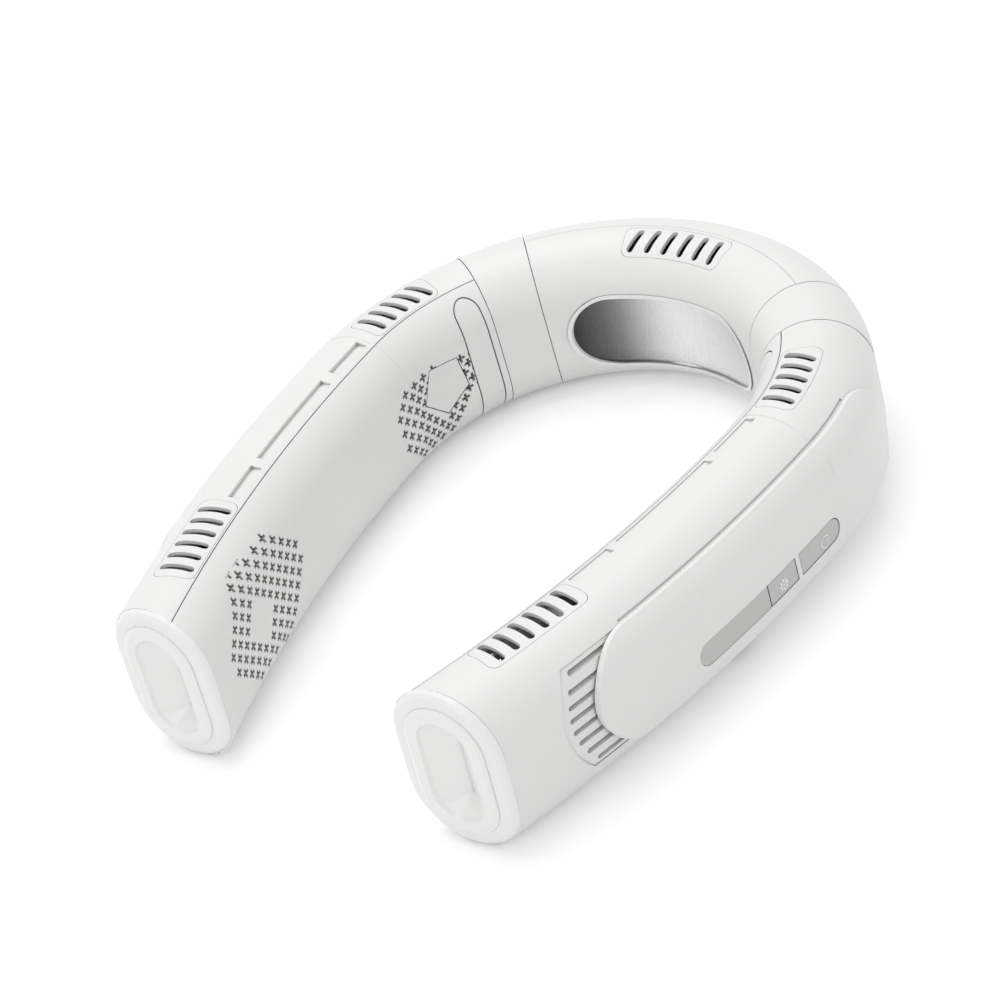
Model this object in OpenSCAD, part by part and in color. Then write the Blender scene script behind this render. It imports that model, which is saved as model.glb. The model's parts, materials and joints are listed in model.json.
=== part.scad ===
// Neck fan: a C-shaped case worn round the neck, with a blower in each arm
// and a chilled metal plate at the nape.
//
// The middle line of the case is two arcs a side, met at a tangent: the back bend,
// centred on the origin of the plan, and the flatter arm. A place on the case is
// given by s, the length along the middle line from the nape, by u, outward from
// that line, and by v, up from the underside. The section is an upright oblong
// with round ends, the same all the way round.

/* [Neck loop] */
// Radius of the middle line round the nape
back_radius = 73.5; // [66:0.5:84]
// Half of the angle that the back bend turns through
back_turn = 92.5; // [88:0.5:96]
// Radius of the middle line along each arm
arm_radius = 450; // [360:5:600]
// Distance from the centre of the back bend to the front edge of the arm shells
tip_reach = 129.4; // [118:0.2:140]
// Angle by which that edge leans back at the top
tip_tilt = 3; // [0:0.5:6]

/* [Case] */
// Width of the case section, from neck side to outer side
case_w = 33.2; // [31:0.2:38]
// Height of the case
case_h = 49.8; // [46:0.2:56]
// Thickness of the moulded shells
wall = 1.8; // [1.4:0.1:2.2]
// Depth of the flat that the case rests on, below the round of the section
rest_cut = 0.45; // [0.3:0.05:0.8]
// Width of the parting lines that show on the arms
parting = 0.3; // [0.2:0.05:0.5]
// Clearance between pieces that are clipped together
clip_gap = 0.1; // [0.05:0.01:0.2]
// Distance from the middle line to the parting line of an arm, toward the neck
arm_split = 7.9; // [7.6:0.1:10]
// Distance from the middle line to the parting line of the rear housing, outward
rear_split = 0.6; // [0.3:0.1:2]

/* [Hinges] */
// Place of the seam between rear housing and hinge collar
collar_start = 53; // [50:0.5:56]
// Place of the seam between hinge collar and arm
collar_end = 73; // [70:0.5:76]
// Width of both seams
seam_gap = 0.3; // [0.2:0.05:0.6]
// Angle that each arm swings out by
swing = 10; // [6:1:12]
// Diameter of the hinge pins
pin_d = 2.4; // [2:0.1:3]
// Depth of the pins under the outer face
pin_inset = 4.9; // [4.7:0.1:6]
// Radial clearance of the knuckle on its pin
pin_play = 0.05; // [0.02:0.01:0.1]
// Wall of the lugs and of the knuckle round the pin
lug_wall = 1.4; // [1.2:0.1:1.6]
// Length of the middle knuckle, along the pin
knuckle_h = 16; // [10:1:18]
// Length of the sleeve that bridges the seam, past it
sleeve_len = 6; // [5:0.5:7]
// Thickness of the sleeve
sleeve_wall = 1.4; // [1:0.1:1.8]
// Clearance of the sleeve inside the arm
sleeve_play = 1.2; // [1.1:0.1:1.6]

/* [Louvres] */
// Place of the first and last slot of each group on the middle line, front group
front_louvre_start = 202.6; // [196:0.2:206]
// Last slot of the front group
front_louvre_end = 227.8; // [222:0.2:230]
// First slot of the rear group of an arm
rear_louvre_start = 90.3; // [88:0.1:94]
// Last slot of the rear group of an arm
rear_louvre_end = 110.3; // [106:0.1:112]
// Half of the length over which the slots at the nape are spread
nape_louvre_half = 15.6; // [14:0.2:17]
// Angle between the nape slots and the middle plane of the fan
nape_slot_lean = 9; // [0:1:15]
// Width of a slot
slot_w = 2.2; // [1.6:0.1:2.6]
// Distance from the middle line to the neck end of the arm slots
slot_in = 6.4; // [5:0.1:6.6]
// Distance from the middle line to the outer end of the arm slots
slot_out = 4.1; // [3:0.1:6]
// Distance from the middle line to the neck end of the nape slots
nape_slot_in = 9.8; // [8:0.1:11]
// Distance from the middle line to the outer end of the nape slots, toward the neck
nape_slot_out = 1.6; // [1.4:0.1:3]
// Thickness of the louvres between their slots
louvre_t = 1.2; // [1:0.1:1.6]
// Margin of the louvre frames round their slots
louvre_margin = 1; // [0.9:0.1:1.4]
// Margin of the louvre frames before and after the group
louvre_end_margin = 4.2; // [4:0.1:4.8]
// Radius of the corners of the louvre frames
louvre_corner = 2.4; // [1.5:0.1:3]

/* [Grooves on the arms] */
// Place where the rear groove starts
groove_1_start = 120.2; // [118:0.2:124]
// Place where the rear groove ends
groove_1_end = 135.9; // [130:0.2:138]
// Place where the middle groove starts
groove_2_start = 140.3; // [139:0.2:146]
// Place where the middle groove ends
groove_2_end = 178.3; // [170:0.2:180]
// Place where the front groove starts
groove_3_start = 181.9; // [181:0.2:184]
// Place where the front groove ends
groove_3_end = 196.5; // [190:0.2:197]
// Width of the grooves
groove_w = 3.4; // [2:0.1:4]
// Distance from the middle line to the middle of the grooves, toward the neck
groove_in = 4.4; // [3:0.1:5]
// Depth of the grooves
groove_depth = 0.9; // [0.4:0.1:1.2]

/* [Neck side of the arms] */
// Distance between two columns of the perforations, along the arm
perf_step = 2.8; // [2.6:0.1:3]
// Distance between two rows of the perforations
perf_rise = 2.7; // [2.5:0.1:2.9]
// Length of the bars of a cross-shaped perforation
cross_len = 3.1; // [2.4:0.1:3.3]
// Width of the bars of a cross-shaped perforation
cross_w = 0.95; // [0.7:0.05:1.1]
// Place of the middle of the front patch
front_patch = 215; // [213:0.5:217]
// Place of the middle of the rear patch
rear_patch = 107.5; // [106:0.5:109]
// Distance from mid height down to the middle of both patches
patch_drop = 0.3; // [-1:0.1:1.5]
// Place of the cover strip beside the hinge
strip_place = 81.3; // [81:0.1:84]
// Width of the cover strip beside the hinge
strip_w = 7.8; // [6:0.2:9]
// Distance from the top of the case down to the top of that strip
strip_top_margin = 4.3; // [3.8:0.1:8]
// Width of the groove round that strip
strip_groove = 0.4; // [0.25:0.05:0.6]

/* [Cover plates] */
// Place of the rear end of the cover plate
cover_start = 85; // [84:0.5:93]
// Place of the front end of the cover plate
cover_end = 214.5; // [208:0.5:218]
// Height of the lower edge of the cover plate
cover_low = 10.5; // [9:0.5:12]
// Distance from the top of the case down to the upper edge of the cover plate
cover_top_margin = 6.3; // [5.3:0.1:9]
// Thickness of the cover plate, which stands proud of the shell
cover_t = 2.2; // [1.6:0.1:2.8]
// Distance that the round of the plate's shoulders lies inside the round of the case
cover_shoulder = 4.6; // [3:0.1:5]
// Width of the groove above the plate
cover_groove_w = 0.8; // [0.5:0.1:1.2]

/* [Intake grilles] */
// Place of the middle of the round intake
intake_place = 200.5; // [198:0.5:203]
// Radius of the intake
intake_r = 24.2; // [22:0.2:25]
// Distance from mid height up to the middle of the intake
intake_rise = 2.6; // [1:0.1:4]
// Distance from the top of the case down to the flat top of the intake
intake_top_margin = 6.6; // [6:0.1:8]
// Height of the flat bottom of the intake
intake_bottom = 11.5; // [11:0.2:14]
// Number of slots in the intake grille
intake_slots = 8; // [6:1:9]
// Width of the intake slots
intake_slot_w = 1.6; // [1.2:0.1:2.2]
// Distance between the ends of the slots and the edge of the intake
intake_margin = 2.2; // [1.6:0.1:3]
// Depth of the grille under the face of the case
intake_recess = 0.3; // [0.2:0.1:1]
// Thickness of the grille
intake_t = 2.9; // [2.4:0.1:3.2]

/* [Controls] */
// Place of the rear end of the control strip
control_start = 120.8; // [120:0.2:124]
// Place of the front end of the control strip
control_end = 181; // [170:0.5:188]
// Height of the middle of the control strip
control_height = 19.5; // [18:0.1:24]
// Width of the control strip
control_w = 7.5; // [6:0.1:9]
// Length of the power key on the middle line
power_key_len = 18.4; // [16:0.2:20]
// Length of the fan key on the middle line
fan_key_len = 12.2; // [10:0.2:14]
// Width of the web of the cover plate between the two keys
key_web = 1.6; // [1.2:0.1:2.4]
// Gap round the keys
key_gap = 0.3; // [0.3:0.05:0.4]
// Travel of the keys
key_travel = 0.4; // [0.3:0.05:0.5]
// Thickness of the keys and of the display window
key_t = 1.2; // [1:0.1:1.5]

/* [Nape plate] */
// Length of the plate's opening on the neck side
window_len = 66; // [60:0.5:68]
// Height of the plate's opening
window_h = 27.2; // [24:0.2:28]
// Distance from mid height down to the middle of the opening
window_drop = 2.6; // [1:0.1:3.5]
// Width of the raised rim round the opening
rim_w = 1.1; // [1:0.1:1.6]
// Height of the rim over the face of the case
rim_proud = 0.5; // [0.3:0.1:1]
// Thickness of the aluminium plate
plate_t = 1.6; // [1.2:0.1:2]
// Depth of the plate under the face of the case
plate_recess = 0.3; // [0.2:0.1:0.8]

/* [End caps] */
// Height of the outer ring of the cap over the front edge of the shell
cap_ring = 2; // [1.5:0.1:3]
// Height of the inner lip over the front edge of the shell
cap_lip = 3; // [2.5:0.1:4]
// Width of the outer ring
cap_ring_w = 4.2; // [3.5:0.1:5]
// Width of the inner lip
cap_lip_w = 4; // [3:0.1:5]
// Depth of the pocket under the lip
cap_pocket = 6.5; // [4:0.5:8]
// Length of the plug inside the shell
cap_plug = 5; // [4:0.5:6]

/* [Hidden] */

// How far cutters run past what they cut
over = 1;
// Facets round a full turn of the back bend, of the arms, of the section and of small rounds
back_facets = 120;
arm_facets = 400;
section_facets = 64;
small_facets = 32;

// The section: its flat sides meet the rounds of top and bottom at a slight angle
round_r = case_w / 2;
side_angle = 4;
// Step at the joint of the two arcs, where their surfaces would be tangent
joint_step = 0.04;
low_centre = round_r / cos(side_angle) - rest_cut;
high_centre = case_h - round_r / cos(side_angle);
// Lengths and angles along the middle line
back_len = back_radius * back_turn * PI / 180;
arm_centre = (back_radius - arm_radius) * [sin(back_turn), cos(back_turn)];
// The arms run past their front edge before they are cut off square to the wearer
tip_turn = acos((-tip_reach - case_w - arm_centre[1]) / arm_radius);
tip_x = arm_centre[0] + sqrt(pow(arm_radius, 2) - pow(tip_reach + arm_centre[1], 2));
tip_lean = asin((tip_reach + arm_centre[1]) / arm_radius);
// Heights that follow the height of the case
mid_h = case_h / 2;
patch_height = mid_h - patch_drop;
window_height = mid_h - window_drop;
intake_height = mid_h + intake_rise;
strip_top = case_h - strip_top_margin;
cover_high = case_h - cover_top_margin;
intake_top = case_h - intake_top_margin;
// The part stands with the middle of its length on the origin
crest_share = 0.4;
front_y = -tip_reach - cap_lip * cos(tip_tilt)
    - (mid_h - cap_ring_w - crest_share * cap_lip_w) * sin(tip_tilt);
rear_y = back_radius + round_r;
mid_y = (front_y + rear_y) / 2;

// Angle from the nape at the length s on the middle line
function turn_at(s) = s <= back_len
    ? s / back_radius * 180 / PI
    : back_turn + (s - back_len) / arm_radius * 180 / PI;
// Angle that a length takes on the back bend, at the distance u from the middle line
function back_angle(length, u = 0) = length / (back_radius + u) * 180 / PI;
// Angle that a length takes on the arm
function arm_angle(length) = length / arm_radius * 180 / PI;
// Height of the top of the section, inset by t, at the distance u from the middle line
function top_at(u, t = 0) = high_centre + sqrt(pow(round_r - t, 2) - pow(u, 2));
// Even places for n copies, as shares of a length from 0 to 1
function spread(n) = [for (i = [0:n - 1]) (n == 1) ? 0.5 : i / (n - 1)];

// Whole object, right half and left half in the part's own frame
module middle() translate([0, -mid_y, 0]) children();
module right() middle() children();
module left() middle() mirror([1, 0, 0]) children();

// Local frame on the middle line: x forward along the case, y outward, z up
module at_back(turn) rotate([0, 0, -turn]) translate([0, back_radius, 0]) children();
module at_arm(turn) translate(arm_centre) rotate([0, 0, -turn]) translate([0, arm_radius, 0]) children();
module at(s) {
    if (s <= back_len) at_back(turn_at(s)) children();
    else at_arm(turn_at(s)) children();
}
// Turns a cylinder or an extrusion so that it runs outward
module outward() rotate([-90, 0, 0]) children();

// Sweeps of a section, drawn in u and v, round the back bend and along the arm
module back_sweep(from, to) mirror([1, 0, 0]) rotate([0, 0, 90 + from])
    rotate_extrude(angle = to - from, start = 0, $fn = back_facets)
        translate([back_radius, 0]) children();
module arm_sweep(from, to) translate(arm_centre) rotate([0, 0, 90 - to])
    rotate_extrude(angle = to - from, start = 0, $fn = arm_facets)
        translate([arm_radius, case_h / 2]) scale(1 - joint_step / round_r) translate([0, -case_h / 2])
            children();
// Sweep from one place on the middle line to another, over the joint of the two arcs
module sweep(from, to) {
    if (from < back_len) back_sweep(turn_at(from), turn_at(min(to, back_len))) children();
    if (to > back_len) arm_sweep(turn_at(max(from, back_len)), turn_at(to)) children();
}

// The case section and the rings cut from it
module section(t = 0) intersection() {
    union() {
        translate([0, low_centre]) circle((round_r - t) / cos(side_angle), $fn = section_facets);
        translate([0, high_centre]) circle((round_r - t) / cos(side_angle), $fn = section_facets);
        translate([t - round_r, low_centre]) square([case_w - 2 * t, high_centre - low_centre]);
    }
    translate([t - round_r, t]) square([case_w - 2 * t, case_h]);
}
module ring(from, to) difference() { section(from); section(to); }
// Keeps the outer part or the neck part of a section, from the distance u on
module outer_part(u) intersection() {
    children();
    translate([u, -over]) square([case_w, case_h + 2 * over]);
}
module neck_part(u) intersection() {
    children();
    translate([u - case_w, -over]) square([case_w, case_h + 2 * over]);
}

// Leans its children back about the middle of the front edge of the arm shells
module tilted() translate([0, -tip_reach, mid_h]) rotate([-tip_tilt, 0, 0])
    translate([0, tip_reach, -mid_h]) children();
// Everything in front of the front edge of the arm shells
module past_tip() tilted() translate([tip_x - case_w * 2, -tip_reach - case_w * 3, -case_w])
    cube([case_w * 4, case_w * 3, case_h + 2 * case_w]);

// Plans, seen from above: part of a ring, a band along the middle line, and a curved
// oblong with round ends
module arc_plan(radius, from, to, u_low, u_high, facets) intersection() {
    difference() {
        circle(radius + u_high, $fn = facets);
        circle(radius + u_low, $fn = facets);
    }
    polygon([[0, 0], 2 * radius * [sin(from), cos(from)], 2 * radius * [sin(to), cos(to)]]);
}
module band_plan(from, to, u_low, u_high) {
    if (from < back_len)
        arc_plan(back_radius, turn_at(from), turn_at(min(to, back_len)), u_low, u_high, back_facets);
    if (to > back_len) translate(arm_centre)
        arc_plan(arm_radius, turn_at(max(from, back_len)), turn_at(to), u_low, u_high, arm_facets);
}
// Band with rounded corners
module frame_plan(from, to, u_low, u_high, r) {
    band_plan(from + r, to - r, u_low, u_high);
    band_plan(from, to, u_low + r, u_high - r);
    for (s = [from + r, to - r], u = [u_low + r, u_high - r])
        at(s) translate([0, u]) circle(r / cos(side_angle), $fn = small_facets);
}
// Oblong with round ends, centred
module oblong(length, width) {
    square([length - width, width], center = true);
    for (x = [-1, 1]) translate([x * (length - width) / 2, 0])
        circle(d = width / cos(side_angle), $fn = small_facets);
}
// Cutter through the top of the case with the plan of its children
module through_top() translate([0, 0, high_centre + round_r / 3]) linear_extrude(round_r) children();
// Width and thickness of the flange that holds an insert under the shell
flange_w = 1.2;
flange_t = 1;
// A louvre insert: a frame flush with the case, thin between its slots, with a flange
// under the shell. The slots are parallel, square to the middle line at the given turn
module louvre(from, to, u_low, u_high, count, slot_turn) {
    first = from - louvre_end_margin;
    last = to + louvre_end_margin;
    low = u_low - louvre_margin;
    high = u_high + louvre_margin;
    border = louvre_margin / 2;
    difference() {
        intersection() {
            sweep(first - flange_w, last + flange_w) ring(0, wall + flange_t / 2);
            through_top() difference() {
                frame_plan(first + clip_gap, last - clip_gap, low + clip_gap, high - clip_gap, louvre_corner);
                for (q = spread(count)) at(from + q * (to - from)) translate([0, (u_low + u_high) / 2])
                    rotate([0, 0, 90 + turn_at(from + q * (to - from)) - slot_turn])
                        oblong(u_high - u_low, slot_w);
            }
        }
        intersection() {
            sweep(first - flange_w, last + flange_w) ring(louvre_t, wall + flange_t);
            through_top() frame_plan(first + border, last - border, low + border, high - border,
                louvre_corner);
        }
    }
    intersection() {
        sweep(first - 2 * flange_w, last + 2 * flange_w) ring(wall + clip_gap, wall + flange_t);
        through_top() difference() {
            frame_plan(first - flange_w, last + flange_w, low - flange_w, high + flange_w, louvre_corner);
            frame_plan(first + border / 2, last - border / 2, low + border / 2, high - border / 2,
                louvre_corner);
        }
    }
}
module louvre_opening(from, to, u_low, u_high) through_top() frame_plan(from - louvre_end_margin,
    to + louvre_end_margin, u_low - louvre_margin, u_high + louvre_margin, louvre_corner);

// Number of slots in the louvres at the nape, at the front of an arm and at its rear
nape_slots = 6;
front_slots = 6;
rear_slots = 5;

// Rear housing

// Window on the neck side at the nape: an oblong with round ends
module neck_window(grow) translate([0, 0, window_height]) rotate([90, 0, 0])
    mirror([0, 0, 1]) linear_extrude(back_radius - round_r + 3 * wall) oblong(window_len + 2 * grow, window_h + 2 * grow);
module rear_sweep() back_sweep(-turn_at(collar_start - seam_gap / 2),
    turn_at(collar_start - seam_gap / 2)) children();
module rear_outer_shell() color("white") middle()
    rear_sweep() outer_part(rear_split + clip_gap / 2) ring(0, wall);
module rear_inner_shell() color("white") middle() difference() {
    rear_sweep() neck_part(rear_split - clip_gap / 2) ring(0, wall);
    neck_window(clip_gap);
    louvre_opening(-nape_louvre_half, nape_louvre_half, -nape_slot_in, -nape_slot_out);
}
module rear_louvre() color("whitesmoke") middle()
    louvre(-nape_louvre_half, nape_louvre_half, -nape_slot_in, -nape_slot_out, nape_slots, nape_slot_lean);
// Raised rim: it lines the window, stands over the face and has a flange inside
module plate_rim() color("white") middle() difference() {
    union() {
        intersection() {
            rear_sweep() neck_part(-round_r / 2) ring(-rim_proud, wall + flange_t);
            neck_window(0);
        }
        intersection() {
            rear_sweep() neck_part(-round_r / 2) ring(wall + clip_gap, wall + flange_t);
            neck_window(flange_w);
        }
    }
    neck_window(-rim_w);
}
module cooling_plate() color("darkgray") middle() {
    intersection() {
        rear_sweep() neck_part(-round_r / 2) ring(plate_recess, plate_recess + plate_t);
        neck_window(-rim_w - clip_gap);
    }
    at_back(0) translate([-tec_w / 2, -round_r + plate_recess + plate_t / 2, window_height - boss_h / 2])
        cube([tec_w, tec_depth - plate_recess - plate_t / 2, boss_h]);
}
// Cold side of the module lies on the boss of the plate, its hot side on the heat sink
tec_w = 20;
boss_h = window_h - 2 * rim_w - 4 * clip_gap;
tec_t = 3.4;
tec_depth = 3.2;
tec_face = -round_r + tec_depth;
module thermoelectric_module() color("ivory") middle() at_back(0)
    translate([-tec_w / 2, tec_face + clip_gap / 2, window_height - tec_w / 2])
        cube([tec_w, tec_t - clip_gap, tec_w]);
sink_w = 34;
// The sink stands on the height of the module's foot and stops short of the louvre
sink_gap = 1.4;
sink_h = top_at(round_r - tec_depth - tec_t, wall + flange_t) - sink_gap - window_height + tec_w / 2;
sink_base = 2;
fin_t = 0.6;
fin_h = 7.5;
fins = 12;
sink_low = window_height - tec_w / 2;
module heat_sink() color("silver") middle() at_back(0) difference() {
    translate([0, tec_face + tec_t, sink_low]) {
        translate([-sink_w / 2, 0, 0]) cube([sink_w, sink_base, sink_h]);
        for (q = spread(fins)) translate([-sink_w / 2 + q * (sink_w - fin_t), 0, 0])
            cube([fin_t, sink_base + fin_h, sink_h]);
    }
    for (x = [-1, 1]) translate([x * screw_spread, tec_face, window_height]) outward() {
        cylinder(d = screw_d + 2 * clip_gap, h = tec_t + sink_base + over, $fn = small_facets);
        translate([0, 0, tec_t + sink_base]) cylinder(d = screw_head_d + 4 * clip_gap, h = fin_h + over,
            $fn = small_facets);
    }
}
screw_d = 1.6;
screw_head_d = 3;
screw_head_h = 1;
screw_spread = 13.8;
// Screw with its head at the local origin and its shank running on
module screw(length) {
    translate([0, 0, -screw_head_h]) cylinder(d = screw_head_d, h = screw_head_h, $fn = small_facets);
    cylinder(d = screw_d, h = length, $fn = small_facets);
}
module heat_sink_screws() color("dimgray") middle() at_back(0)
    for (x = [-1, 1]) translate([x * screw_spread, tec_face + tec_t + sink_base, window_height])
        mirror([0, 1, 0]) outward() screw(tec_t + sink_base);
// Axial fan at the back of the heat sink
fan_size = 32;
fan_t = 6.5;
fan_bore = 29;
fan_place = tec_face + tec_t + sink_base + fin_h;
fan_high = mid_h;
fan_corner = 3;
fan_hub_d = 12;
fan_tip_gap = 0.5;
shaft_d = 1.5;
spoke_w = 2;
spoke_t = 1;
module rear_fan_frame() color("dimgray") middle() at_back(0)
    translate([0, fan_place, fan_high]) outward() {
        difference() {
            union() {
                translate([-fan_size / 2 + fan_corner, -fan_size / 2, 0])
                    cube([fan_size - 2 * fan_corner, fan_size, fan_t]);
                translate([-fan_size / 2, -fan_size / 2 + fan_corner, 0])
                    cube([fan_size, fan_size - 2 * fan_corner, fan_t]);
                for (x = [-1, 1], y = [-1, 1])
                    translate([x, y, 0] * (fan_size / 2 - fan_corner))
                        cylinder(r = fan_corner, h = fan_t, $fn = small_facets);
            }
            translate([0, 0, -over]) cylinder(d = fan_bore, h = fan_t + 2 * over, $fn = section_facets);
        }
        for (turn = [30, 150, 270]) rotate([0, 0, turn]) translate([fan_hub_d / 2 - spoke_w, -spoke_w / 2,
            fan_t - spoke_t]) cube([(fan_bore - fan_hub_d) / 2 + 2 * spoke_w, spoke_w, spoke_t]);
        difference() {
            translate([0, 0, fan_t - spoke_t]) cylinder(d = fan_hub_d, h = spoke_t, $fn = small_facets);
            translate([0, 0, -over]) cylinder(d = shaft_d + 2 * over, h = fan_t + 2 * over,
                $fn = small_facets);
        }
    }
motor_d = 9.4;
motor_h = 3;
cup_wall = 0.8;
// Stator of a fan motor, with the bore of its bearing
module stator(d, h) difference() {
    cylinder(d = d, h = h, $fn = small_facets);
    translate([0, 0, -over]) cylinder(d = shaft_d + 2 * pin_play, h = h + 2 * over, $fn = small_facets);
}
module rear_fan_motor() color("peru") middle() at_back(0)
    translate([0, fan_place + fan_t - spoke_t - motor_h, fan_high]) outward() stator(motor_d, motor_h);
// Cup that turns round the stator, on the shaft
module cup(d, h) difference() {
    cylinder(d = d, h = h, $fn = section_facets);
    translate([0, 0, cup_wall]) cylinder(d = d - 2 * cup_wall, h = h, $fn = section_facets);
    translate([0, 0, -over]) cylinder(d = shaft_d, h = h + 2 * over, $fn = small_facets);
}
rear_cup_h = 4.4;
rear_cup_start = fan_place + fan_t - spoke_t - rear_cup_h - 0.3 * spoke_t;
rear_blades = 7;
rear_blade_t = 0.7;
rear_blade_turn = 52;
module rear_fan_impeller() color("black") middle() at_back(0)
    translate([0, rear_cup_start, fan_high]) outward() {
        cup(fan_hub_d, rear_cup_h);
        intersection() {
            for (i = [0:rear_blades - 1]) rotate([0, 0, i * 360 / rear_blades])
                translate([0, 0, rear_cup_h / 2]) rotate([rear_blade_turn, 0, 0])
                    translate([fan_hub_d / 2 - cup_wall / 2, -rear_cup_h, -rear_blade_t / 2])
                        cube([fan_bore / 2, 2 * rear_cup_h, rear_blade_t]);
            cylinder(d = fan_bore - 2 * fan_tip_gap, h = rear_cup_h, $fn = section_facets);
        }
    }
module rear_fan_shaft() color("silver") middle() at_back(0)
    translate([0, rear_cup_start, fan_high]) outward()
        cylinder(d = shaft_d, h = rear_cup_h, $fn = small_facets);

// Hinge collars

lug_r = pin_d / 2 + lug_wall;
pin_u = round_r - pin_inset;
hinge_turn = turn_at(collar_end);
half_seam = back_angle(seam_gap / 2);
// Height of the room inside the case beside the lugs, less their clearance from the arm
lug_play = 0.3;
lug_room = sqrt(pow(round_r - wall - lug_play, 2) - pow(pin_u + lug_r, 2));
pin_low = low_centre - lug_room;
pin_high = high_centre + lug_room;
knuckle_low = (low_centre + high_centre) / 2 - knuckle_h / 2;
sleeve_out = wall + sleeve_play;
spigot_len = 4;
module at_pin() at_back(hinge_turn) translate([0, pin_u, 0]) children();
module collar() difference() {
    union() {
        back_sweep(turn_at(collar_start + seam_gap / 2), hinge_turn - half_seam) ring(0, wall);
        // Spigot into the rear housing, and the shoulder that carries it
        back_sweep(turn_at(collar_start - spigot_len), turn_at(collar_start + spigot_len))
            ring(wall + clip_gap, wall + clip_gap + sleeve_wall);
        back_sweep(turn_at(collar_start + seam_gap / 2), turn_at(collar_start + spigot_len))
            ring(wall / 2, wall + sleeve_wall);
        // Sleeve into the arm, and its shoulder
        back_sweep(turn_at(collar_end - spigot_len), turn_at(collar_end + sleeve_len))
            ring(sleeve_out, sleeve_out + sleeve_wall);
        back_sweep(turn_at(collar_end - spigot_len), hinge_turn - half_seam)
            ring(wall / 2, sleeve_out + sleeve_wall);
        for (ends = [[pin_low, knuckle_low - clip_gap], [knuckle_low + knuckle_h + clip_gap, pin_high]])
            at_pin() translate([0, 0, ends[0]]) cylinder(r = lug_r, h = ends[1] - ends[0],
                $fn = small_facets);
    }
    at_pin() translate([0, 0, pin_low - over]) cylinder(d = pin_d, h = pin_high - pin_low + 2 * over,
        $fn = small_facets);
    // Room for the knuckle and its web
    at_pin() translate([-lug_r - sleeve_play / 2, -lug_r - sleeve_play / 2, knuckle_low - clip_gap])
        cube([lug_r + sleeve_play + sleeve_len + over, lug_r + pin_inset - wall + sleeve_play / 2,
            knuckle_h + 2 * clip_gap]);
}
module hinge_pin() at_pin() translate([0, 0, pin_low]) cylinder(d = pin_d, h = pin_high - pin_low,
    $fn = small_facets);
module left_collar() color("white") left() collar();
module right_collar() color("white") right() collar();
module left_hinge_pin() color("silver") left() hinge_pin();
module right_hinge_pin() color("silver") right() hinge_pin();

// Arm shells

arm_end = back_len + arm_radius * (tip_turn - back_turn) * PI / 180;
module arm_ring() {
    back_sweep(hinge_turn + half_seam, back_turn) children();
    arm_sweep(back_turn, tip_turn) children();
}
// Wedge that the outer edge of the arm needs to swing, less the height of the knuckle
module swing_wedge(low, high) at_pin() translate([0, 0, low]) linear_extrude(high - low)
    polygon([[-case_w, 0], [0, 0], [case_w * tan(swing), case_w], [-case_w, case_w]]);
module knuckle_wedge() at_pin() translate([0, 0, knuckle_low]) linear_extrude(knuckle_h)
    difference() {
        polygon([[-case_w, 0], [0, 0], [case_w * tan(swing), case_w], [-case_w, case_w]]);
        circle(pin_inset - wall, $fn = section_facets);
    }
// Round cutter, outward through the case at one place
module round_cut(s, v, r, depth = case_w) at(s) translate([0, 0, v]) outward()
    cylinder(r = r, h = depth, $fn = section_facets);
// Round intake with a flat top and a flat bottom, outward through the case
module intake_plan(grow) intersection() {
    circle(intake_r + grow, $fn = section_facets);
    translate([-case_w, intake_height - intake_top - grow])
        square([2 * case_w, intake_top - intake_bottom + 2 * grow]);
}
module intake_cut() at(intake_place) translate([0, 0, intake_height]) outward()
    linear_extrude(2 * case_w) children();
module grooves() translate([0, 0, top_at(groove_in) - groove_depth]) linear_extrude(case_h) {
    band_plan(groove_1_start, groove_1_end, -groove_in - groove_w / 2, -groove_in + groove_w / 2);
    band_plan(groove_2_start, groove_2_end, -groove_in - groove_w / 2, -groove_in + groove_w / 2);
    band_plan(groove_3_start, groove_3_end, -groove_in - groove_w / 2, -groove_in + groove_w / 2);
}
stem_d = 3;
stem_hole_d = 3.6;
module outer_shell(with_keys) difference() {
    union() {
        arm_ring() outer_part(-arm_split + parting / 2) ring(0, wall);
        // Knuckle of the hinge, on a web from the outer wall
        at_pin() translate([0, 0, knuckle_low + clip_gap]) cylinder(r = lug_r,
            h = knuckle_h - 2 * clip_gap, $fn = small_facets);
        at_pin() translate([0, pin_d / 2 + pin_play, knuckle_low + clip_gap])
            cube([sleeve_len, pin_inset - wall / 2 - pin_d / 2 - pin_play, knuckle_h - 2 * clip_gap]);
    }
    at_pin() translate([0, 0, knuckle_low]) cylinder(d = pin_d + 2 * pin_play, h = knuckle_h,
        $fn = small_facets);
    swing_wedge(-over, knuckle_low);
    knuckle_wedge();
    swing_wedge(knuckle_low + knuckle_h, case_h + over);
    past_tip();
    louvre_opening(front_louvre_start, front_louvre_end, -slot_in, slot_out);
    louvre_opening(rear_louvre_start, rear_louvre_end, -slot_in, slot_out);
    grooves();
    cover_groove();
    intake_cut() intake_plan(clip_gap);
    if (with_keys) {
        for (s = [power_key_place, fan_key_place]) round_cut(s, control_height, stem_hole_d / 2);
        usb_opening();
    }
}
module left_outer_shell() color("white") left() outer_shell(false);
module right_outer_shell() color("white") right() outer_shell(true);

// Neck side of the arms

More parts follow.
